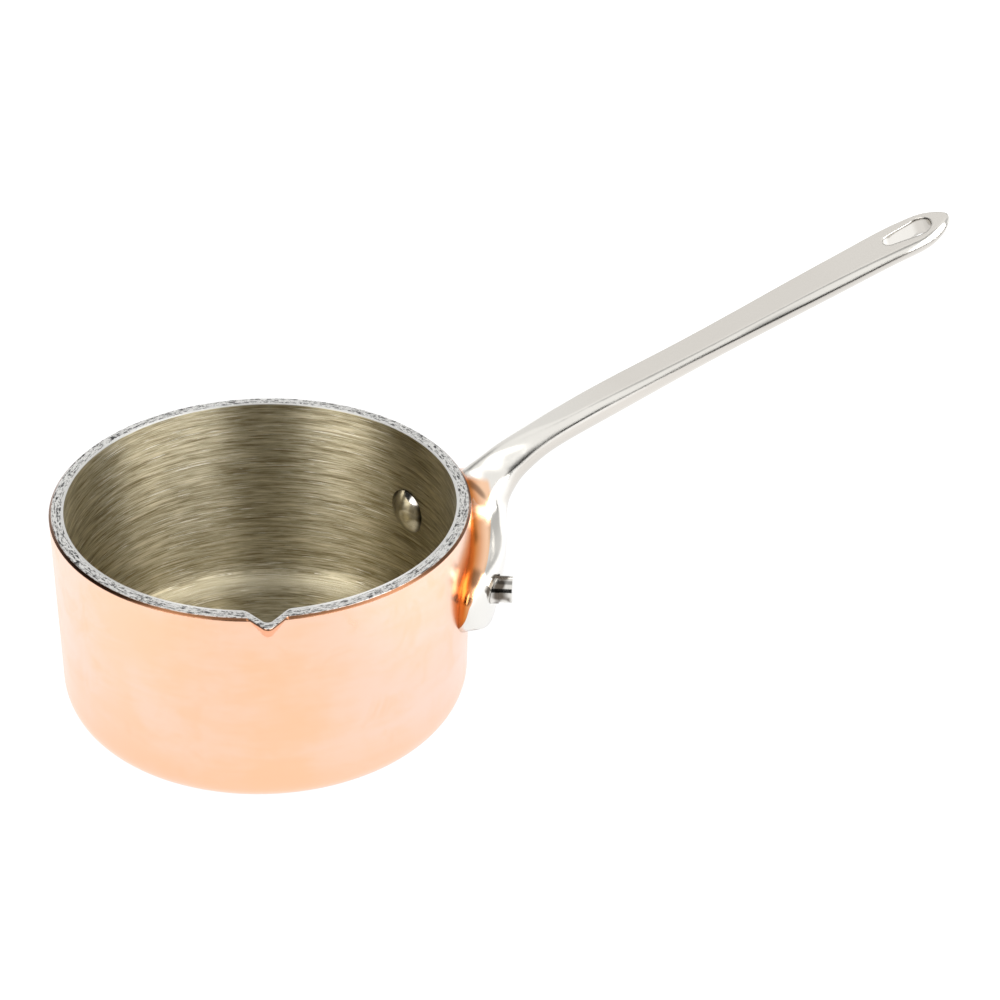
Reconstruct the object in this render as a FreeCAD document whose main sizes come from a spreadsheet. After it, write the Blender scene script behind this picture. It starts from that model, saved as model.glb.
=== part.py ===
import FreeCAD, Part
import math
import os
import Sketcher

# Small clad saucepan: tri-ply pot with a pouring notch, a cast handle and two rivets.
# Frame: origin in the middle of the base where it rests, +Z up, handle along +X. Millimetres.

V = FreeCAD.Vector
doc = FreeCAD.newDocument("saucepan")
dims = doc.addObject("Spreadsheet::Sheet", "Dims")
row_count = 0


def cell(name, value):
    """Put one driving dimension in the sheet under its own name."""
    global row_count
    row_count += 1
    dims.set("A%d" % row_count, name)
    dims.set("B%d" % row_count, "%.6g" % value)
    dims.setAlias("B%d" % row_count, name)
    return value


# Pot: outer surface of the copper, then the depth of each layer's inner face below it
rim_height = cell("rim_height", 50.0)
rim_radius = cell("rim_radius", 45.75)
foot_radius = cell("foot_radius", 44.6)
corner_radius = cell("corner_radius", 9.4)
copper_depth = cell("copper_depth", 0.75)
core_depth = cell("core_depth", 2.65)
wall_depth = cell("wall_depth", 3.2)
edge_break = cell("edge_break", 0.68)
# The layers' bodies are carried this far above the rim, then cut level
over = cell("over", 12.0)

# Pouring notch: a V pushed out of the wall, its ridge running down and in until it fades
notch_reach = cell("notch_reach", 50.1)
notch_shrink = cell("notch_shrink", 0.87)
notch_slope = cell("notch_slope", 0.78)
notch_round = cell("notch_round", 1.3)
notch_shoulder = cell("notch_shoulder", 1.6)
notch_bury = cell("notch_bury", 0.15)
notch_fall = cell("notch_fall", 6.0)
notch_sink = cell("notch_sink", 1.6)
notch_angle = cell("notch_angle", -104.0)

# Rivets: one each side of the handle, radial, shank through flange and wall
rivet_angle = cell("rivet_angle", 23.35)
rivet_height = cell("rivet_height", 30.55)
shank_radius = cell("shank_radius", 2.95)
tail_end = cell("tail_end", 54.85)
collar_radius = cell("collar_radius", 3.25)
collar_end = cell("collar_end", 52.0)
head_radius = cell("head_radius", 5.15)
head_rise = cell("head_rise", 2.1)
head_skirt = cell("head_skirt", 0.35)
head_seat = cell("head_seat", 43.2)
shank_start = cell("shank_start", 41.0)
# The heads are measured from a line this far inside the inner face of the rim
head_inset = cell("head_inset", 0.4)

# Flange lobes, seen along the handle
lobe_centre = cell("lobe_centre", 18.0)
lobe_height = cell("lobe_height", 31.7)
lobe_radius = cell("lobe_radius", 10.3)
arch_height = cell("arch_height", 26.0)
span = cell("span", 80.0)
cut_start = cell("cut_start", 20.0)

# Hanging slot near the tip: a rounded teardrop cut square to the arm
slot_rise = cell("slot_rise", 19.6)
slot_x = cell("slot_x", 146.3)
slot_z = cell("slot_z", 89.7)
slot_small = cell("slot_small", 2.1)
slot_large = cell("slot_large", 3.15)
slot_span = cell("slot_span", 6.5)
slot_cut = cell("slot_cut", 24.0)

# Handle sections from the bottom of the flange to the tip. Each stands across the handle:
# belly point (x, z), lean of the section from +X, crease height and half width, top height and
# half width (heights measured from the belly along the section), rounding of the top corners.
FIELDS = ("x", "z", "lean", "crease", "half", "top", "flat", "soft")
SECTIONS = (
    ("low", 51.5, 19.0, 180.0, 13.7, 28.3, 20.9, 22.9, 1.0),
    ("lobe", 54.0, 30.0, 180.0, 16.1, 28.3, 23.3, 22.9, 1.0),
    ("hip", 54.4, 33.2, 176.6, 15.2, 28.0, 22.5, 22.8, 1.0),
    ("sweep", 54.6, 36.0, 174.4, 12.3, 25.0, 20.1, 20.4, 1.0),
    ("waist", 55.2, 38.3, 168.8, 8.3, 16.0, 17.0, 13.1, 1.5),
    ("neck", 56.2, 40.8, 156.3, 7.2, 9.0, 15.8, 7.6, 2.5),
    ("throat", 57.4, 43.2, 153.0, 7.3, 6.8, 12.6, 0.6, 2.5),
    ("bend", 59.3, 45.8, 146.3, 6.1, 5.3, 10.6, 0.7, 2.0),
    ("root", 61.0, 47.4, 138.0, 5.4, 4.9, 9.5, 1.0, 2.0),
    ("start", 64.6, 50.2, 126.2, 5.1, 4.6, 7.7, 1.7, 1.5),
    ("slim", 70.8, 53.4, 113.0, 4.9, 4.2, 6.6, 2.8, 0.9),
    ("grip", 78.4, 56.65, 112.0, 5.05, 4.33, 6.4, 3.05, 0.5),
    ("middle", 101.4, 66.3, 112.0, 4.35, 4.5, 5.4, 3.5, 0.4),
    ("wide", 136.6, 80.2, 111.5, 4.15, 5.7, 5.5, 4.4, 0.4),
    ("shoulder", 149.9, 85.2, 111.0, 4.25, 6.0, 5.35, 5.0, 0.4),
    ("taper", 153.1, 86.3, 110.5, 4.1, 5.8, 5.2, 5.1, 0.4),
    ("nose", 156.2, 87.9, 110.0, 3.4, 4.95, 4.85, 4.3, 0.4),
    ("brow", 158.3, 89.6, 110.0, 2.7, 3.6, 3.85, 3.0, 0.35),
    ("tip", 159.5, 91.3, 110.0, 1.6, 2.0, 2.5, 1.6, 0.2),
    ("end", 160.0, 92.4, 110.0, 0.8, 0.8, 1.4, 0.6, 0.1),
)
step_length = cell("step_length", 2.4)
arc_steps = cell("arc_steps", 8)


def bind(sketch, kind, refs, value, expression):
    """Add one dimension to a sketch and tie it to the sheet."""
    index = sketch.addConstraint(Sketcher.Constraint(kind, *refs, value))
    sketch.setExpression("Constraints[%d]" % index, expression)


def new_sketch(name, origin=V(0, 0, 0), x_axis=V(1, 0, 0), y_axis=V(0, 0, 1)):
    """Free sketch in the plane through origin with the given in-plane axes."""
    sketch = doc.addObject("Sketcher::SketchObject", name)
    turn = FreeCAD.Rotation(x_axis, y_axis, x_axis.cross(y_axis), "XYZ")
    sketch.Placement = FreeCAD.Placement(origin, turn)
    return sketch


def line(sketch, a, b):
    return sketch.addGeometry(Part.LineSegment(V(a[0], a[1], 0), V(b[0], b[1], 0)), False)


def arc(sketch, centre, radius, start, end):
    circle = Part.Circle(V(centre[0], centre[1], 0), V(0, 0, 1), radius)
    return sketch.addGeometry(
        Part.ArcOfCircle(circle, math.radians(start), math.radians(end)), False)


def join(sketch, *ends):
    """Coincident ends, given as (geometry, end, geometry, end) tuples."""
    for a, end_a, b, end_b in ends:
        sketch.addConstraint(Sketcher.Constraint("Coincident", a, end_a, b, end_b))


def pin(sketch, geo, end, x, z, x_text, z_text):
    """Fix a point by its distances from the sketch origin."""
    bind(sketch, "DistanceX", (-1, 1, geo, end), x, x_text)
    bind(sketch, "DistanceY", (-1, 1, geo, end), z, z_text)


# ---------------------------------------------------------------- pot layers

notch_turn = FreeCAD.Rotation(V(0, 0, 1), notch_angle)


def notch_outline(name, depth, depth_text, origin):
    """Level outline of the notch: a V with a rounded ridge and soft shoulders.

    It closes on its own origin, well inside the pot.
    """
    centre = notch_reach - notch_shrink * depth - notch_round
    shoulder = notch_shoulder + depth / 2
    away = rim_radius - depth - notch_bury + shoulder
    slant = math.atan(notch_slope)
    swing = math.asin((centre * math.sin(slant) + notch_round + shoulder) / away) - slant
    vee = new_sketch(name, origin, notch_turn.multVec(V(1, 0, 0)), notch_turn.multVec(V(0, 1, 0)))
    open_angle, swing_angle = math.degrees(slant), math.degrees(swing)
    touch = (centre + notch_round * math.sin(slant), notch_round * math.cos(slant))
    hub = (away * math.cos(swing), away * math.sin(swing))
    bank = (hub[0] - shoulder * math.sin(slant), hub[1] - shoulder * math.cos(slant))
    root = (hub[0] - shoulder * math.cos(swing), hub[1] - shoulder * math.sin(swing))
    ridge = arc(vee, (centre, 0), notch_round, open_angle - 90, 90 - open_angle)
    left = line(vee, touch, bank)
    left_bend = arc(vee, hub, shoulder, 180 + swing_angle, 270 - open_angle)
    left_side = line(vee, root, (0, 0))
    right_side = line(vee, (0, 0), (root[0], -root[1]))
    right_bend = arc(vee, (hub[0], -hub[1]), shoulder, 90 + open_angle, 180 - swing_angle)
    right = line(vee, (bank[0], -bank[1]), (touch[0], -touch[1]))
    join(vee, (left_side, 2, right_side, 1), (left_side, 2, -1, 1))
    for kind, a, end_a, b, end_b in (
            ("Tangent", ridge, 2, left, 1), ("Tangent", left, 2, left_bend, 2),
            ("Perpendicular", left_bend, 1, left_side, 1),
            ("Perpendicular", right_side, 2, right_bend, 2),
            ("Tangent", right_bend, 1, right, 1), ("Tangent", right, 2, ridge, 1)):
        vee.addConstraint(Sketcher.Constraint(kind, a, end_a, b, end_b))
    bind(vee, "Radius", (ridge,), notch_round, "Dims.notch_round")
    bind(vee, "DistanceX", (-1, 1, ridge, 3), centre,
         "Dims.notch_reach - Dims.notch_shrink * %s - Dims.notch_round" % depth_text)
    bind(vee, "Angle", (left,), math.pi - slant, "180 deg - atan(Dims.notch_slope)")
    bind(vee, "Angle", (right,), slant, "atan(Dims.notch_slope)")
    shoulder_text = "Dims.notch_shoulder + %s / 2" % depth_text
    for bend in (left_bend, right_bend):
        bind(vee, "Radius", (bend,), shoulder, shoulder_text)
        bind(vee, "Distance", (-1, 1, bend, 3), away,
             "Dims.rim_radius - %s - Dims.notch_bury + %s" % (depth_text, shoulder_text))
    return vee


def cup(name, depth, depth_text):
    """Solid of everything inside one layer boundary, carried above the rim."""
    r_rim = rim_radius + over * (rim_radius - foot_radius) / (rim_height - corner_radius)
    top = rim_height + over
    corner = corner_radius - depth
    foot = foot_radius - depth
    sk = new_sketch(name + "_profile")
    base = line(sk, (0, depth), (foot - corner, depth))
    bend = arc(sk, (foot - corner, depth + corner), corner, -90, 0)
    wall = line(sk, (foot, depth + corner), (r_rim - depth, top))
    lid = line(sk, (r_rim - depth, top), (0, top))
    axis = line(sk, (0, top), (0, depth))
    join(sk, (wall, 2, lid, 1), (lid, 2, axis, 1), (axis, 2, base, 1))
    sk.addConstraint(Sketcher.Constraint("Tangent", base, 2, bend, 1))
    sk.addConstraint(Sketcher.Constraint("Tangent", bend, 2, wall, 1))
    sk.addConstraint(Sketcher.Constraint("Horizontal", base))
    sk.addConstraint(Sketcher.Constraint("Horizontal", lid))
    sk.addConstraint(Sketcher.Constraint("PointOnObject", axis, 1, -2))
    sk.addConstraint(Sketcher.Constraint("PointOnObject", axis, 2, -2))
    bind(sk, "Radius", (bend,), corner, "Dims.corner_radius - " + depth_text)
    bind(sk, "DistanceX", (-1, 1, wall, 1), foot, "Dims.foot_radius - " + depth_text)
    grow = "Dims.over * (Dims.rim_radius - Dims.foot_radius)"
    grow += " / (Dims.rim_height - Dims.corner_radius)"
    pin(sk, wall, 2, r_rim - depth, top,
        "Dims.rim_radius + %s - %s" % (grow, depth_text), "Dims.rim_height + Dims.over")
    if depth:
        bind(sk, "DistanceY", (-1, 1, base, 1), depth, depth_text)
    else:
        sk.addConstraint(Sketcher.Constraint("PointOnObject", base, 1, -1))
    turned = doc.addObject("Part::Revolution", name + "_turned")
    turned.Source = sk
    turned.Axis = V(0, 0, 1)
    turned.Base = V(0, 0, 0)
    turned.Angle = 360.0
    turned.Solid = True

    # The notch is pushed down and in until it sinks into the wall
    lean = V(notch_reach - foot_radius, 0, notch_fall)
    start = notch_turn.multVec(V(lean) * (over / notch_fall)) + V(0, 0, rim_height)
    vee = notch_outline(name + "_notch_outline", depth, depth_text, start)
    wedge = doc.addObject("Part::Extrusion", name + "_notch")
    wedge.Base = vee
    wedge.DirMode = "Custom"
    wedge.Dir = notch_turn.multVec(V(lean) * -1)
    wedge.LengthFwd = lean.Length * (over / notch_fall + notch_sink)
    wedge.Solid = True
    whole = doc.addObject("Part::Fuse", name)
    whole.Base = turned
    whole.Tool = wedge
    return whole


outer = cup("copper_outside", 0.0, "0")
inner_copper = cup("copper_inside", copper_depth, "Dims.copper_depth")
inner_core = cup("core_inside", core_depth, "Dims.core_depth")
inside = cup("lining_inside", wall_depth, "Dims.wall_depth")

# Broken outer edge of the rim: all that lies inside a cone and, at the notch, a V leaning in
edge_cone = doc.addObject("Part::Cone", "edge_cone")
edge_cone.setExpression("Radius1", "Dims.rim_radius - Dims.edge_break + Dims.rim_height")
edge_cone.setExpression("Radius2", "Dims.rim_radius - Dims.edge_break")
edge_cone.setExpression("Height", "Dims.rim_height")
edge_vee = doc.addObject("Part::Extrusion", "edge_vee")
edge_vee.Base = notch_outline("edge_vee_outline", 0.0, "0",
                              notch_turn.multVec(V(-edge_break, 0, 0)) + V(0, 0, rim_height))
edge_vee.DirMode = "Custom"
edge_vee.Dir = notch_turn.multVec(V(1, 0, -1))
edge_vee.LengthFwd = 2 * over
edge_vee.Solid = True
broken_edge = doc.addObject("Part::Fuse", "broken_edge")
broken_edge.Base = edge_cone
broken_edge.Tool = edge_vee


def boolean(kind, name, base, tools):
    """Cut or common of document objects, one tool after another."""
    for i, tool in enumerate(tools):
        last = i == len(tools) - 1
        step = doc.addObject("Part::" + kind, name if last else "%s_%d" % (name, i))
        step.Base = base
        step.Tool = tool
        base = step
    return base


def cylinder(name, radius_text, start, end, start_text, end_text, angle):
    """Round bar lying on a radius of the pot at rivet height, from start to end."""
    bar = doc.addObject("Part::Cylinder", name)
    bar.setExpression("Radius", radius_text)
    bar.setExpression("Height", "%s - %s" % (end_text, start_text))
    turn = FreeCAD.Rotation(V(0, 0, 1), angle)
    bar.Placement = FreeCAD.Placement(
        turn.multVec(V(start, 0, 0)) + V(0, 0, rivet_height),
        turn.multiply(FreeCAD.Rotation(V(0, 1, 0), 90)))
    return bar


# ---------------------------------------------------------------- rivets

SIDES = (("left", 1), ("right", -1))
shanks, rivets = [], []
for side, sign in SIDES:
    angle = sign * rivet_angle
    bore = cylinder("bore_" + side, "Dims.shank_radius", shank_start, tail_end + 2,
                    "Dims.shank_start", "(Dims.tail_end + 2)", angle)
    shanks.append(bore)
    shank = cylinder("shank_" + side, "Dims.shank_radius", shank_start, tail_end,
                     "Dims.shank_start", "Dims.tail_end", angle)
    # Domed head: a cap with a short skirt, trimmed to the curve of the wall
    dome = new_sketch("head_outline_" + side)
    wall_line = rim_radius - wall_depth - head_inset
    crown = wall_line - head_rise
    skirt = wall_line - head_skirt
    sag = skirt - crown
    ball = (head_radius ** 2 + sag ** 2) / (2 * sag)
    edge = math.degrees(math.asin(head_radius / ball))
    cap = arc(dome, (crown + ball, 0), ball, 180 - edge, 180)
    rim = line(dome, (skirt, head_radius), (head_seat, head_radius))
    seat = line(dome, (head_seat, head_radius), (head_seat, 0))
    spine = line(dome, (head_seat, 0), (crown, 0))
    join(dome, (cap, 1, rim, 1), (rim, 2, seat, 1), (seat, 2, spine, 1), (spine, 2, cap, 2))
    for constraint in (("Horizontal", rim), ("Vertical", seat), ("PointOnObject", spine, 1, -1),
                       ("PointOnObject", spine, 2, -1), ("PointOnObject", cap, 3, -1)):
        dome.addConstraint(Sketcher.Constraint(*constraint))
    line_text = "Dims.rim_radius - Dims.wall_depth - Dims.head_inset"
    bind(dome, "DistanceX", (-1, 1, cap, 2), crown, line_text + " - Dims.head_rise")
    pin(dome, rim, 1, skirt, head_radius, line_text + " - Dims.head_skirt", "Dims.head_radius")
    bind(dome, "DistanceX", (-1, 1, seat, 2), head_seat, "Dims.head_seat")
    turn = FreeCAD.Rotation(V(0, 0, 1), angle)
    head = doc.addObject("Part::Revolution", "head_turned_" + side)
    head.Source = dome
    head.Axis = V(1, 0, 0)
    head.Base = V(0, 0, 0)
    head.Angle = 360.0
    head.Solid = True
    head.Placement = FreeCAD.Placement(V(0, 0, rivet_height), turn)
    trimmed = boolean("Common", "head_" + side, head, [inside])
    collar = cylinder("collar_" + side, "Dims.collar_radius", collar_end - 4, collar_end,
                      "(Dims.collar_end - 4)", "Dims.collar_end", angle)
    rivets.append((side, trimmed, shank, collar))


# ---------------------------------------------------------------- handle

def section_points(x, z, lean, crease, half, top, flat, soft):
    """Belly, crease, top corner and the two ends of its rounding, on the +Y side."""
    rise = V(math.cos(math.radians(lean)), 0, math.sin(math.radians(lean)))
    belly = V(x, 0, z)
    edge = belly + rise * crease + V(0, half, 0)
    corner = belly + rise * top + V(0, flat, 0)
    to_edge = edge - corner
    cut = min(soft, 0.45 * to_edge.Length, 0.9 * flat)
    below = corner + to_edge * (cut / to_edge.Length)
    return belly, edge, below, corner, corner - V(0, cut, 0)


def smooth(points, knots, samples):
    """Smooth curve through the points, read off at the sample parameters."""
    curve = Part.BSplineCurve()
    curve.interpolate(Points=points, Parameters=knots)
    return [curve.value(t) for t in samples]


def steady(points, knots, samples):
    """Curve through the points that never swings past them."""
    gaps = [b - a for a, b in zip(knots, knots[1:])]
    slopes = [(q - p) / g for p, q, g in zip(points, points[1:], gaps)]
    tangents = [slopes[0]]
    for k, (a, b) in enumerate(zip(slopes, slopes[1:])):
        early, late = 2 * gaps[k + 1] + gaps[k], gaps[k + 1] + 2 * gaps[k]
        tangents.append(V(*(
            (early + late) / (early / u + late / v) if u * v > 0 else 0.0 for u, v in zip(a, b))))
    tangents.append(slopes[-1])
    out = []
    for t in samples:
        k = max(i for i in range(len(gaps)) if knots[i] <= t + 1e-9)
        g, u = gaps[k], (t - knots[k]) / gaps[k]
        out.append(points[k] * ((1 + 2 * u) * (1 - u) ** 2) + tangents[k] * (g * u * (1 - u) ** 2)
                   + points[k + 1] * (u * u * (3 - 2 * u)) + tangents[k + 1] * (g * u * u * (u - 1)))
    return out


def mirror(p):
    return V(p.x, -p.y, p.z)


def cross_arc(a, b, c):
    """Points along the circular arc from a through b to c."""
    bow = Part.Arc(a, b, c)
    lo, hi = bow.FirstParameter, bow.LastParameter
    return [bow.value(lo + (hi - lo) * i / arc_steps) for i in range(int(arc_steps) + 1)]


def cross_blend(a, b, c):
    """Points along a soft corner from a to c, pulled towards b."""
    return [a * (1 - t) ** 2 + b * (2 * t * (1 - t)) + c * t ** 2
            for t in (i / 4 for i in range(5))]


def spline(points, parameters):
    curve = Part.BSplineCurve()
    if len(points) == 2:
        curve.buildFromPolesMultsKnots(points, [2, 2], [0.0, 1.0], False, 1)
    else:
        curve.interpolate(Points=points, Parameters=parameters)
    return curve


def spread(points):
    return [i / (len(points) - 1) for i in range(len(points))]


def skin(rows, parameters):
    """Surface through a grid of points, rows across the handle; neighbours share their edges."""
    along = [spline(column, parameters) for column in map(list, zip(*rows))]
    across = [spline(list(points), spread(points))
              for points in zip(*(curve.getPoles() for curve in along))]
    surface = Part.BSplineSurface()
    surface.buildFromPolesMultsKnots(
        [curve.getPoles() for curve in across],
        along[0].getMultiplicities(), across[0].getMultiplicities(),
        along[0].getKnots(), across[0].getKnots(), False, False,
        along[0].Degree, across[0].Degree)
    return surface.toShape()


def cap(*strips):
    """Flat end of the casting, closed along the ends of its strips."""
    edges = [spline(points, spread(points)).toShape() for points in strips]
    return Part.Face(Part.Wire(Part.__sortEdges__(edges)))


for name, *values in SECTIONS:
    for field, value in zip(FIELDS, values):
        cell("%s_%s" % (name, field), value)
stations = [section_points(*row[1:]) for row in SECTIONS]
knots = [0.0]
for a, b in zip(stations, stations[1:]):
    knots.append(knots[-1] + sum((p - q).Length for p, q in zip(a, b)) / len(a))
samples = [0.0]
for a, b in zip(knots, knots[1:]):
    count = max(3, math.ceil((b - a) / step_length))
    samples += [a + (b - a) * (i + 1) / count for i in range(count)]
belly, edge = (smooth([s[i] for s in stations], knots, samples) for i in (0, 1))
below, corner, above = (steady([s[i] for s in stations], knots, samples) for i in (2, 3, 4))
strips = []
for b, e, lo, c, hi in zip(belly, edge, below, corner, above):
    strips.append((
        cross_arc(mirror(e), b, e), [e, lo], cross_blend(lo, c, hi), [hi, mirror(hi)],
        cross_blend(mirror(hi), mirror(c), mirror(lo)), [mirror(lo), mirror(e)]))
faces = [skin([s[i] for s in strips], samples) for i in range(6)]
faces += [cap(*strips[0]), cap(*strips[-1])]
casting = doc.addObject("Part::Feature", "handle_casting")
shell = Part.makeShell(faces)
shell.sewShape()
solid = Part.makeSolid(shell)
if solid.Volume < 0:
    solid.reverse()
casting.Shape = solid


def box(name, x, y, z, long, wide, high, long_text, wide_text, high_text):
    """Block with its low corner at (x, y, z)."""
    block = doc.addObject("Part::Box", name)
    block.setExpression("Length", long_text)
    block.setExpression("Width", wide_text)
    block.setExpression("Height", high_text)
    block.Placement = FreeCAD.Placement(V(x, y, z), FreeCAD.Rotation())
    return block


# Lobes of the flange, seen along the handle: a round end under each rivet, an arch between
drop = arch_height - lobe_height
arch_radius = (lobe_centre ** 2 + drop ** 2 - lobe_radius ** 2) / (2 * (lobe_radius + drop))
cell("arch_radius", arch_radius)
touch = arch_radius / (arch_radius + lobe_radius)
foot_y = lobe_centre * touch
arch_centre = arch_height - arch_radius
foot_z = arch_centre + (lobe_height - arch_centre) * touch
pieces = [
    box("above_lobes", cut_start, -span / 2, lobe_height + 1, 2 * span, span, span,
        "2 * Dims.span", "Dims.span", "Dims.span"),
    box("between_lobes", cut_start, -foot_y, foot_z, 2 * span, 2 * foot_y, span / 2,
        "2 * Dims.span", "2 * Dims.lobe_centre * Dims.arch_radius"
        " / (Dims.arch_radius + Dims.lobe_radius)", "Dims.span / 2"),
    box("beside_lobes", cut_start, -lobe_centre - lobe_radius, lobe_height, 2 * span,
        2 * (lobe_centre + lobe_radius), span / 2, "2 * Dims.span",
        "2 * (Dims.lobe_centre + Dims.lobe_radius)", "Dims.span / 2")]
along = FreeCAD.Rotation(V(0, 1, 0), 90)
for side, sign in SIDES:
    lobe = doc.addObject("Part::Cylinder", "lobe_" + side)
    lobe.setExpression("Radius", "Dims.lobe_radius")
    lobe.setExpression("Height", "2 * Dims.span")
    lobe.Placement = FreeCAD.Placement(V(cut_start, sign * lobe_centre, lobe_height), along)
    pieces.append(lobe)
outline = doc.addObject("Part::MultiFuse", "flange_outline")
outline.Shapes = pieces
arch = doc.addObject("Part::Cylinder", "flange_arch")
arch.setExpression("Radius", "Dims.arch_radius")
arch.setExpression("Height", "2 * Dims.span")
arch.Placement = FreeCAD.Placement(V(cut_start - 1, 0, arch_centre), along)
keep = boolean("Cut", "flange_shape", outline, [arch])

# Slot outline: two round ends joined by tangents, the larger end towards the tip
rise = math.radians(slot_rise)
arm = V(math.cos(rise), 0, math.sin(rise))
normal = V(-math.sin(rise), 0, math.cos(rise))
slot_sketch = new_sketch("slot_outline", V(slot_x, 0, slot_z) - normal * (slot_cut / 2), arm, V(0, 1, 0))
flare = math.degrees(math.asin((slot_large - slot_small) / slot_span))
near = arc(slot_sketch, (0, 0), slot_small, 90 + flare, 270 - flare)
far = arc(slot_sketch, (slot_span, 0), slot_large, -90 - flare, 90 + flare)
lean = V(-math.sin(math.radians(flare)), math.cos(math.radians(flare)), 0)
low = line(slot_sketch, (lean.x * slot_small, -lean.y * slot_small),
           (slot_span + lean.x * slot_large, -lean.y * slot_large))
high = line(slot_sketch, (slot_span + lean.x * slot_large, lean.y * slot_large),
            (lean.x * slot_small, lean.y * slot_small))
for a, end_a, b, end_b in ((near, 2, low, 1), (low, 2, far, 1), (far, 2, high, 1),
                           (high, 2, near, 1)):
    slot_sketch.addConstraint(Sketcher.Constraint("Tangent", a, end_a, b, end_b))
slot_sketch.addConstraint(Sketcher.Constraint("Coincident", near, 3, -1, 1))
slot_sketch.addConstraint(Sketcher.Constraint("PointOnObject", far, 3, -1))
bind(slot_sketch, "Radius", (near,), slot_small, "Dims.slot_small")
bind(slot_sketch, "Radius", (far,), slot_large, "Dims.slot_large")
bind(slot_sketch, "DistanceX", (-1, 1, far, 3), slot_span, "Dims.slot_span")
slot = doc.addObject("Part::Extrusion", "slot")
slot.Base = slot_sketch
slot.DirMode = "Custom"
slot.Dir = normal
slot.LengthFwd = slot_cut
slot.Solid = True

trimmed = boolean("Common", "handle_trimmed", casting, [keep])
handle = boolean("Cut", "handle", trimmed, [outer, slot] + shanks)

# ---------------------------------------------------------------- finished pieces

below_rim = doc.addObject("Part::Cylinder", "below_rim")
below_rim.setExpression("Radius", "2 * Dims.rim_radius")
below_rim.setExpression("Height", "Dims.rim_height")
nodes = {"handle": handle}
for name, whole, hollow in (("copper_skin", outer, inner_copper),
                            ("aluminium_core", inner_copper, inner_core),
                            ("steel_lining", inner_core, inside)):
    trims = [below_rim, broken_edge] if name == "copper_skin" else [below_rim]
    wall = boolean("Common", name + "_wall", whole, trims)
    nodes[name] = boolean("Cut", name, wall, [hollow] + shanks)
for side, head, shank, collar in rivets:
    seated = boolean("Cut", "collar_seated_" + side, collar, [handle])
    whole = doc.addObject("Part::MultiFuse", "rivet_" + side)
    whole.Shapes = [head, shank, seated]
    nodes["rivet_" + side] = whole
doc.recompute()

for item in doc.Objects:
    if "Invalid" in item.State or "Error" in item.State:
        raise RuntimeError("%s did not compute" % item.Name)
os.makedirs("parts", exist_ok=True)
for name, item in nodes.items():
    item.Label = name
    shape = item.Shape
    if shape.isNull() or not shape.isValid() or len(shape.Solids) != 1:
        raise RuntimeError("%s is not one valid solid (%d)" % (name, len(shape.Solids)))
    shape.exportStep("parts/%s.step" % name)
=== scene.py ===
import math

import bpy
from mathutils import Euler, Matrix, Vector


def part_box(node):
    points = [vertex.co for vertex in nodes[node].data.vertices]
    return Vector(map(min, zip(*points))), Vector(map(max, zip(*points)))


# Looks of a small clad saucepan, with the light tent and the camera it is seen by.
# The part's own frame: metres, +Z up along the pot's axis, handle along +X.

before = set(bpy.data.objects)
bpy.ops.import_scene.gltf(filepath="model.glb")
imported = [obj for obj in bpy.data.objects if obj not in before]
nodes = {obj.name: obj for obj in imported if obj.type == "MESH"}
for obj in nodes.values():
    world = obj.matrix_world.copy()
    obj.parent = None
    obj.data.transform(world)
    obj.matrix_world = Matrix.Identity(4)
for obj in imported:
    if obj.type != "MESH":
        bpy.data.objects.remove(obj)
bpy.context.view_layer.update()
scene = bpy.context.scene
scene.view_settings.view_transform = "Standard"
scene.view_settings.look = "None"

# Height of the rim, and the heights where its ground face and the painted shade on its broken
# edge fade in
rim_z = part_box("copper_skin")[1].z
GROUND_FACE = (rim_z - 0.00022, rim_z - 0.00008)
BROKEN_EDGE = (rim_z - 0.00085, rim_z - 0.0006)


# ---------------------------------------------------------------- node helpers

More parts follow.
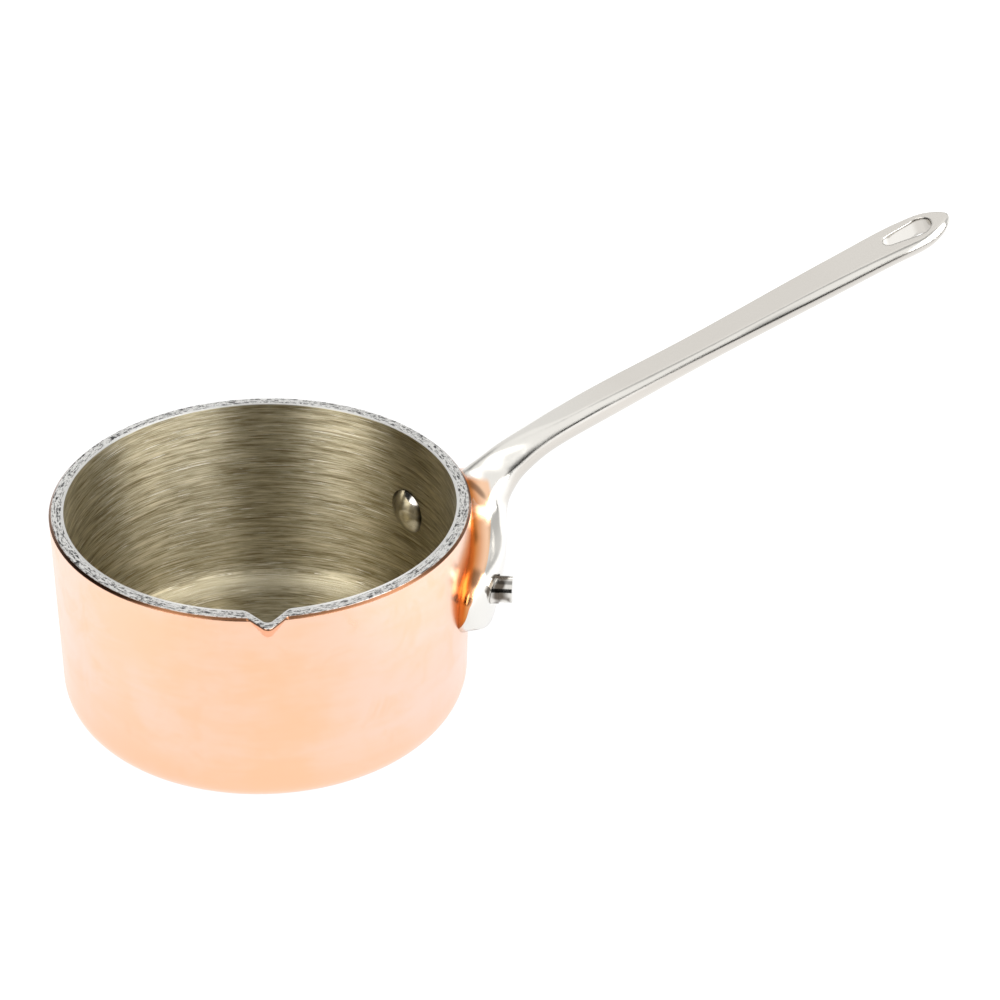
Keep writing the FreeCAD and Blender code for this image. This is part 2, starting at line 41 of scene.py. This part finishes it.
class Graph:
    """Shader nodes of one material or world, added and linked by value or by socket."""

    def __init__(self, holder, output="ShaderNodeOutputMaterial"):
        holder.use_nodes = True
        self.holder = holder
        self.tree = holder.node_tree
        self.tree.nodes.clear()
        self.out = self.tree.nodes.new(output)

    def put(self, socket, value):
        """Link a socket to another, or set it to a constant."""
        if isinstance(value, bpy.types.NodeSocket):
            self.tree.links.new(value, socket)
        else:
            socket.default_value = value

    def node(self, kind, props=None, **inputs):
        """New node with its properties and its inputs, spaces in input names as underscores."""
        made = self.tree.nodes.new("ShaderNode" + kind)
        for name, value in (props or {}).items():
            setattr(made, name, value)
        for name, value in inputs.items():
            self.put(made.inputs[name.replace("_", " ")], value)
        return made

    def math(self, operation, *values):
        made = self.node("Math", {"operation": operation})
        for socket, value in zip(made.inputs, values):
            self.put(socket, value)
        return made.outputs[0]

    def add(self, first, *others):
        for other in others:
            first = self.math("ADD", first, other)
        return first

    def times(self, first, *others):
        for other in others:
            first = self.math("MULTIPLY", first, other)
        return first

    def opposite(self, mask):
        return self.math("SUBTRACT", 1.0, mask)

    def length(self, x, y):
        return self.math("SQRT", self.add(self.times(x, x), self.times(y, y)))

    def along(self, x, y, way_x, way_y):
        """How far (x, y) goes in the direction (way_x, way_y)."""
        return self.add(self.times(x, way_x), self.times(y, way_y))

    def position(self):
        return self.node("TexCoord").outputs["Object"]

    def split(self, vector):
        made = self.node("SeparateXYZ", Vector=vector)
        return made.outputs[0], made.outputs[1], made.outputs[2]

    def join(self, x, y, z):
        return self.node("CombineXYZ", X=x, Y=y, Z=z).outputs[0]

    def polar(self, vector):
        """x, y and the distance from the pot's axis."""
        x, y = self.split(vector)[:2]
        return x, y, self.length(x, y)

    def scaled(self, vector, by_x, by_y, by_z):
        x, y, z = self.split(vector)
        return self.join(self.times(x, by_x), self.times(y, by_y), self.times(z, by_z))

    def rings(self, vector, across, fine, long):
        """Coordinates for turning marks: fine across them, long round the pot's axis."""
        x, y, radius = self.polar(vector)
        return self.join(self.times(self.math("DIVIDE", x, radius), long),
                         self.times(self.math("DIVIDE", y, radius), long),
                         self.times(across, fine))

    def noise(self, vector, scale=1.0, detail=3.0, rough=0.5, distortion=0.0):
        return self.node("TexNoise", Vector=vector, Scale=scale, Detail=detail, Roughness=rough,
                         Distortion=distortion).outputs["Fac"]

    def remap(self, value, start, end, low=0.0, high=1.0):
        """Smooth step from low at start to high at end."""
        made = self.node("MapRange", {"interpolation_type": "SMOOTHSTEP"})
        for socket, given in zip(made.inputs, (value, start, end, low, high)):
            self.put(socket, given)
        return made.outputs[0]

    def blend(self, mask, below, above):
        """The colour below, covered by the colour above where the mask is 1."""
        made = self.node("Mix", {"data_type": "RGBA"})
        for index, given in ((0, mask), (6, below), (7, above)):
            self.put(made.inputs[index], given)
        return made.outputs[2]

    def normal(self, kind="Normal"):
        return self.node("NewGeometry").outputs[kind]

    def eased(self, radius):
        """Normal that turns softly over the creases."""
        return self.node("Bevel", {"samples": 8}, Radius=radius).outputs[0]

    def bump(self, height, strength, distance, **normal):
        return self.node("Bump", Height=height, Strength=strength, Distance=distance,
                         **normal).outputs[0]

    def metal(self, colour, rough, **inputs):
        """Finish the material as bare metal."""
        return self.surface(Base_Color=colour, Metallic=1.0, Roughness=rough, **inputs)

    def surface(self, **inputs):
        shader = self.node("BsdfPrincipled", **inputs)
        self.tree.links.new(shader.outputs[0], self.out.inputs["Surface"])
        return self.holder


def new_graph(name):
    return Graph(bpy.data.materials.new(name))


def dress(material, *names):
    """Give pieces one material."""
    for name in names:
        slots = nodes[name].data.materials
        slots.clear()
        slots.append(material)


# ---------------------------------------------------------------- ground rim

RIM_PALE = (0.82, 0.82, 0.81, 1)
RIM_SCRATCH = (0.045, 0.045, 0.048, 1)


def ground_rim(g, p):
    """Colour, scratch mask and height of the hand-ground rim: pale, with dark marks along it."""
    radius = g.polar(p)[2]
    long_marks = g.noise(g.rings(p, radius, fine=3000.0, long=18.0), detail=4.0, rough=0.65)
    short_marks = g.noise(g.rings(p, radius, fine=4600.0, long=60.0), detail=3.0, rough=0.7)
    flecks = g.noise(p, scale=900.0, detail=2.0, rough=0.6)
    broken_marks = g.times(g.remap(long_marks, 0.47, 0.58), g.remap(flecks, 0.36, 0.56))
    dark = g.math("MAXIMUM", broken_marks, g.remap(short_marks, 0.56, 0.66))
    colour = g.blend(dark, RIM_PALE, RIM_SCRATCH)
    height = g.math("SUBTRACT", g.times(long_marks, 0.6), dark)
    return colour, dark, height


# ---------------------------------------------------------------- copper skin

COPPER_WARM = (0.955, 0.575, 0.37, 1)
COPPER_PALE = (0.955, 0.668, 0.56, 1)
COPPER_SMUDGE = (0.94, 0.57, 0.37, 1)
COPPER_LOW = (0.94, 0.56, 0.36, 1)
# Painted shade: a dark band along the broken edge just below the rim
COPPER_EDGE_SHADE = (0.13, 0.050, 0.018, 1)
# The wall is warmest along the line at this x and pales to both sides of it
WARM_LINE = -0.014
WARM_FADE = (0.006, 0.040)
LOW_FADE = (0.016, 0.0)
# Softness of the notch's creases, and of the rim's edge, with the heights between them
CREASE_EASE, EDGE_EASE = 0.0014, 0.0004
EASE_FADE = (rim_z - 0.0030, rim_z - 0.0016)


def copper():
    """Polished copper with pale clouds, smudges, painted shade on the broken edge and a ground
    rim.
    """
    g = new_graph("copper_polished")
    p = g.position()
    x, y, z = g.split(p)
    cloud = g.noise(p, scale=34.0, detail=4.0, rough=0.55, distortion=0.3)
    smudge = g.noise(p, scale=95.0, detail=5.0, rough=0.6, distortion=0.6)
    polish = g.noise(g.rings(p, z, fine=1500.0, long=14.0), detail=4.0, rough=0.6)
    streak = g.noise(g.scaled(p, 60.0, 60.0, 260.0), detail=5.0, rough=0.65, distortion=0.5)

    patches = g.remap(g.add(g.times(cloud, 0.7), g.times(streak, 0.3)), 0.38, 0.62)
    aside = g.remap(g.math("ABSOLUTE", g.add(x, -WARM_LINE)), *WARM_FADE)
    pale = g.add(g.times(patches, 0.45), g.times(aside, 0.5))
    colour = g.blend(pale, COPPER_WARM, COPPER_PALE)
    colour = g.blend(g.times(g.remap(smudge, 0.50, 0.72), 0.5), colour, COPPER_SMUDGE)
    colour = g.blend(g.remap(z, *LOW_FADE, high=0.7), colour, COPPER_LOW)

    top = g.remap(z, *GROUND_FACE)
    # Painted shade on the broken edge, below the ground face
    edge_shade = g.times(g.remap(z, *BROKEN_EDGE), g.opposite(top))
    colour = g.blend(g.times(edge_shade, 0.95), colour, COPPER_EDGE_SHADE)
    colour = g.blend(top, colour, ground_rim(g, p)[0])
    rough = g.add(g.times(smudge, 0.10), g.times(cloud, 0.10), 0.14, g.times(top, 0.12))
    eased = g.eased(g.remap(z, *EASE_FADE, low=CREASE_EASE, high=EDGE_EASE))
    return g.metal(colour, rough, Normal=g.bump(polish, 0.05, 0.00002, Normal=eased))


# ---------------------------------------------------------------- steel lining and core

BRUSH_DARK = (0.17, 0.138, 0.072, 1)
BRUSH_LIGHT = (0.70, 0.64, 0.475, 1)
BRUSH_SCRATCH = (0.90, 0.88, 0.80, 1)
LINING_TOP = (0.80, 0.80, 0.79, 1)
# Distance from the axis where the inside turns from floor to wall
COVE = (0.0375, 0.0408)


def steel_inside():
    """Steel brushed round the axis, on the floor of the pot and up its wall."""
    g = new_graph("steel_brushed")
    p = g.position()
    z = g.split(p)[2]
    radius = g.polar(p)[2]
    on_wall = g.remap(radius, *COVE)
    across = g.add(g.times(z, on_wall), g.times(radius, g.opposite(on_wall)))
    fine = g.noise(g.rings(p, across, fine=5600.0, long=6.0), detail=5.0, rough=0.7)
    bold = g.noise(g.rings(p, across, fine=1300.0, long=4.0), detail=3.0, rough=0.6)
    scratch = g.noise(g.rings(p, across, fine=3600.0, long=4.5), detail=4.0, rough=0.7)

    tone = g.remap(g.add(g.times(fine, 0.6), g.times(bold, 0.4)), 0.33, 0.67)
    colour = g.blend(tone, BRUSH_DARK, BRUSH_LIGHT)
    colour = g.blend(g.remap(scratch, 0.58, 0.70), colour, BRUSH_SCRATCH)
    colour = g.blend(g.remap(z, *GROUND_FACE), colour, LINING_TOP)
    rough = g.add(0.30, g.times(fine, 0.20))
    normal = g.bump(g.add(fine, g.times(scratch, 0.8)), 0.30, 0.00006)
    # Brush marks run round the axis, so the gloss spreads up and down the wall
    tangent = g.node("Tangent", {"direction_type": "RADIAL", "axis": "Z"}).outputs[0]
    return g.metal(colour, rough, Normal=normal, Anisotropic=0.9, Anisotropic_Rotation=0.25,
                   Tangent=tangent)


def core_edge():
    """The aluminium layer, of which only the ground edge shows."""
    g = new_graph("core_ground")
    colour, dark, height = ground_rim(g, g.position())
    rough = g.add(0.34, g.times(dark, 0.2))
    return g.metal(colour, rough, Normal=g.bump(height, 0.6, 0.0001))


# ---------------------------------------------------------------- polished steel

def polished(g, p, tone, other_tone, base_rough):
    """Colour, roughness and height of polished steel: faint clouds and fine marks."""
    cloud = g.noise(p, scale=60.0, detail=3.0, rough=0.5, distortion=0.4)
    marks = g.noise(p, scale=700.0, detail=4.0, rough=0.7)
    colour = g.blend(g.remap(cloud, 0.3, 0.7), tone, other_tone)
    rough = g.add(base_rough, g.times(g.remap(marks, 0.45, 0.8), 0.05))
    return colour, rough, g.noise(p, scale=130.0, detail=2.0)


def outward(g, x, y, radius, face):
    """1 where a surface faces away from the pot's axis, -1 where it faces the axis."""
    face_x, face_y = g.split(face)[:2]
    return g.math("DIVIDE", g.along(x, y, face_x, face_y), radius)


# ---------------------------------------------------------------- rivets

RIVET_STEEL = (0.72, 0.70, 0.66, 1)
RIVET_LIGHT = (0.80, 0.78, 0.75, 1)
TAIL_DARK = (0.13, 0.11, 0.09, 1)
HEAD_RING_DARK = (0.07, 0.06, 0.045, 1)
# Distances from the axis: where the tail's patches begin, its clean end, and the heads
TAIL_START = (0.0500, 0.0515)
TAIL_END = (0.0550, 0.0540)
INSIDE_POT = (0.0440, 0.0432)


def steel_rivet():
    """Polished steel with a patchy dark tail outside the pot, darker round the edge of the head
    inside.
    """
    g = new_graph("steel_rivet")
    p = g.position()
    colour, rough, height = polished(g, p, RIVET_STEEL, RIVET_LIGHT, base_rough=0.12)
    x, y, radius = g.polar(p)
    patches = g.remap(g.noise(p, scale=240.0, detail=1.0), 0.46, 0.56)
    tail = g.times(g.remap(radius, *TAIL_START), patches, g.remap(radius, *TAIL_END))
    colour = g.blend(tail, colour, TAIL_DARK)
    # Darker where the head's faces turn away from the axis, inside the pot
    head_edge = g.remap(outward(g, x, y, radius, g.normal()), -0.86, -0.76)
    head_ring_dark = g.times(head_edge, g.remap(radius, *INSIDE_POT))
    colour = g.blend(head_ring_dark, colour, HEAD_RING_DARK)
    return g.metal(colour, rough, Normal=g.bump(height, 0.035, 0.0002))


# ---------------------------------------------------------------- handle

HANDLE_STEEL = (0.80, 0.785, 0.75, 1)
HANDLE_LIGHT = (0.85, 0.835, 0.80, 1)
SATIN = (0.77, 0.735, 0.69, 1)
# Painted shade on the handle's downward faces, darker farther along it
UNDER_SHADE_NEAR = (0.60, 0.57, 0.53, 1)
UNDER_SHADE_FAR = (0.53, 0.505, 0.47, 1)
# Painted reflection of the copper wall on the flange's side faces, dark at the foot
REFLECTION_COPPER_DEEP = (0.60, 0.20, 0.04, 1)
REFLECTION_COPPER_BRIGHT = (0.95, 0.62, 0.42, 1)
REFLECTION_COPPER_SHADE = (0.09, 0.03, 0.01, 1)
# Painted shade along the creases
CREASE_PAINTED_SHADE = (0.05, 0.045, 0.04, 1)
# Places along the handle, as x
SATIN_START = (0.062, 0.085)
UNDER_SHADE_START = (0.050, 0.056)
UNDER_SHADE_FADE = (0.07, 0.14)
NECK = (0.056, 0.072)
CREASE_START = (0.0505, 0.0535)
# Softness of the creases, in the neck and along the arm
NECK_EASE, ARM_EASE = 0.0024, 0.0010
# The flange's side faces, where the copper wall's reflection is painted: distances from the
# axis, then heights
FLANGE_FRONT = (0.0504, 0.0513)
FLANGE_DEPTH = (0.0462, 0.0495)
FLANGE_TOP = (0.0490, 0.0478)
FLANGE_FOOT = (0.030, 0.023)


def flange_painted_reflection(g, x, y, z, face):
    """Mask and colour of the painted reflection of the copper wall on the flange's side faces,
    dark at the foot.
    """
    radius = g.length(x, y)
    mask = g.times(g.opposite(g.remap(outward(g, x, y, radius, face), 0.30, 0.45)),
                   g.opposite(g.remap(radius, *FLANGE_FRONT)), g.remap(z, *FLANGE_TOP))
    painted_reflection = g.blend(g.remap(radius, *FLANGE_DEPTH), REFLECTION_COPPER_DEEP, REFLECTION_COPPER_BRIGHT)
    return mask, g.blend(g.remap(z, *FLANGE_FOOT), painted_reflection, REFLECTION_COPPER_SHADE)


def crease_painted_shade(g, x, face, eased):
    """Mask of the painted shade on the creases that face sideways, where the eased normal leaves
    the true one.
    """
    level = g.split(eased)[2]
    dot = g.node("VectorMath", {"operation": "DOT_PRODUCT"})
    g.put(dot.inputs[0], eased)
    g.put(dot.inputs[1], face)
    return g.times(g.remap(dot.outputs["Value"], 0.985, 0.95), g.remap(level, -0.40, -0.15),
                   g.remap(level, 0.60, 0.40), g.remap(x, *CREASE_START, high=0.92))


def steel_handle():
    """Polished casting: satin flat top, painted shade underneath, painted copper reflection on
    the flange, painted shade on the creases.
    """
    g = new_graph("steel_handle")
    p = g.position()
    x, y, z = g.split(p)
    colour, rough, height = polished(g, p, HANDLE_STEEL, HANDLE_LIGHT, base_rough=0.06)
    facing_up = g.split(g.normal())[2]
    face = g.normal("True Normal")

    flat_top = g.times(g.remap(facing_up, 0.86, 0.91), g.remap(x, *SATIN_START))
    colour = g.blend(g.times(flat_top, 0.6), colour, SATIN)
    # Painted shade on the faces that look down
    under_shade = g.times(g.remap(facing_up, 0.22, -0.10), g.remap(x, *UNDER_SHADE_START))
    colour = g.blend(under_shade, colour, g.blend(g.remap(x, *UNDER_SHADE_FADE), UNDER_SHADE_NEAR, UNDER_SHADE_FAR))
    # Painted reflection of the copper wall on the flange's side faces
    reflection_mask, painted_reflection = flange_painted_reflection(g, x, y, z, face)
    colour = g.blend(reflection_mask, colour, painted_reflection)
    eased = g.eased(g.remap(x, *NECK, low=NECK_EASE, high=ARM_EASE))
    # Painted shade: dark lines along the creases that face sideways
    colour = g.blend(crease_painted_shade(g, x, face, eased), colour, CREASE_PAINTED_SHADE)

    rough = g.add(rough, g.times(flat_top, 0.16))
    belt_marks = g.noise(g.scaled(p, 60.0, 2500.0, 60.0), detail=3.0, rough=0.6)
    height = g.add(g.times(height, 0.5), g.times(belt_marks, flat_top, 0.12))
    return g.metal(colour, rough, Normal=g.bump(height, 0.06, 0.0002, Normal=eased))


dress(copper(), "copper_skin")
dress(steel_inside(), "steel_lining")
dress(core_edge(), "aluminium_core")
dress(steel_handle(), "handle")
dress(steel_rivet(), "rivet_left", "rivet_right")


# ---------------------------------------------------------------- floor

# The camera looks along the table this many degrees to the right of +Y
CAMERA_TURN = 18.75
# Level directions in that view: towards the viewer, and to the right
FRONT = (-math.sin(math.radians(CAMERA_TURN)), -math.cos(math.radians(CAMERA_TURN)))
RIGHT = (-FRONT[1], FRONT[0])
FLOOR_HALF = 3.0
FLOOR_GREY = (0.06, 0.06, 0.06, 1)
FLOOR_GLOW = 0.99
# The glow grows to the right and to the left: by how much, and over which distances
RIGHT_GLOW, RIGHT_FADE = 0.26, (0.06, 0.12)
LEFT_GLOW, LEFT_FADE = 0.13, (-0.02, -0.12)


def white_floor():
    """White that lights itself, so the pan throws no shadow on it."""
    g = new_graph("floor_white")
    x, y = g.split(g.position())[:2]
    aside = g.along(x, y, *RIGHT)
    glow = g.add(g.times(g.remap(aside, *RIGHT_FADE), RIGHT_GLOW),
                 g.times(g.remap(aside, *LEFT_FADE), LEFT_GLOW), FLOOR_GLOW)
    return g.surface(Base_Color=FLOOR_GREY, Roughness=0.9, Specular_IOR_Level=0.0,
                     Emission_Color=(1.0, 1.0, 1.0, 1), Emission_Strength=glow)


corners = [(sx * FLOOR_HALF, sy * FLOOR_HALF, 0.0)
           for sx, sy in ((-1, -1), (1, -1), (1, 1), (-1, 1))]
floor_mesh = bpy.data.meshes.new("floor")
floor_mesh.from_pydata(corners, [], [(0, 1, 2, 3)])
floor_mesh.materials.append(white_floor())
floor = bpy.data.objects.new("floor", floor_mesh)
scene.collection.objects.link(floor)


# ---------------------------------------------------------------- light tent

# White paper behind, two soft boxes in front with a dark gap between them, a grey roof.
# Brightness of each part
GAP, BOX, BACK, TOP, ROOF = 0.02, 5.6, 0.86, 1.0, 0.40
LEFT_SIDE, RIGHT_SIDE, HORIZON = 0.03, 0.6, 0.08
WHITE = (1.0, 0.99, 0.97, 1)
# Degrees away from the front where one part gives way to the next
BOX_START = (20, 27)
LEFT_BOX_END, RIGHT_BOX_END = (58, 70), (90, 104)
HORIZON_END = (96, 110)
BACK_START = (116, 140)
# Degrees above the table
HORIZON_HEIGHT = (3, 9)
GAP_TOP = (30, 38)
TOP_START = (42, 55)
ROOF_START = (66, 80)

world = bpy.data.worlds.new("studio")
scene.world = world
sky = Graph(world, "ShaderNodeOutputWorld")
way_x, way_y, way_z = sky.split(sky.node("TexCoord").outputs["Generated"])
level = sky.math("MAXIMUM", sky.length(way_x, way_y), 0.001)
to_front = sky.math("DIVIDE", sky.along(way_x, way_y, *FRONT), level)
to_right = sky.remap(sky.math("DIVIDE", sky.along(way_x, way_y, *RIGHT), level), -0.1, 0.1)


def turn(start, end):
    """0 to 1 as the direction swings from start to end degrees away from the front."""
    return sky.remap(to_front, math.cos(math.radians(start)), math.cos(math.radians(end)))


def rise(start, end):
    """0 to 1 as the direction climbs from start to end degrees above the table."""
    return sky.remap(way_z, math.sin(math.radians(start)), math.sin(math.radians(end)))


def over(below, mask, above):
    """The brightness below, covered by the brightness above where the mask is 1."""
    return sky.add(sky.times(below, sky.opposite(mask)), sky.times(above, mask))


box_end = over(turn(*LEFT_BOX_END), to_right, turn(*RIGHT_BOX_END))
light = over(over(GAP, rise(*GAP_TOP), TOP), turn(*BOX_START), BOX)
light = over(light, box_end, over(LEFT_SIDE, to_right, RIGHT_SIDE))
light = over(light, turn(*BACK_START), BACK)
light = over(HORIZON, sky.math("MAXIMUM", rise(*HORIZON_HEIGHT), turn(*HORIZON_END)), light)
light = over(light, rise(*TOP_START), TOP)
light = over(light, rise(*ROOF_START), ROOF)
glow = sky.node("Background", Color=WHITE, Strength=light)
sky.tree.links.new(glow.outputs[0], sky.out.inputs["Surface"])


# ---------------------------------------------------------------- camera

# Long lens, looking down at 31.6 degrees: tilt is the angle up from straight down
CAMERA_PLACE = Vector((-0.19276, -0.72931, 0.51357))
CAMERA_TILT = 58.41
FOCAL_LENGTH, SENSOR_WIDTH = 146.92, 36.0
NEAR, FAR = 0.05, 20.0

camera_data = bpy.data.cameras.new("camera")
camera_data.sensor_width = SENSOR_WIDTH
camera_data.lens = FOCAL_LENGTH
camera_data.clip_start = NEAR
camera_data.clip_end = FAR
camera = bpy.data.objects.new("camera", camera_data)
camera.location = CAMERA_PLACE
camera.rotation_euler = Euler((math.radians(CAMERA_TILT), 0.0, math.radians(-CAMERA_TURN)))
scene.collection.objects.link(camera)
scene.camera = camera
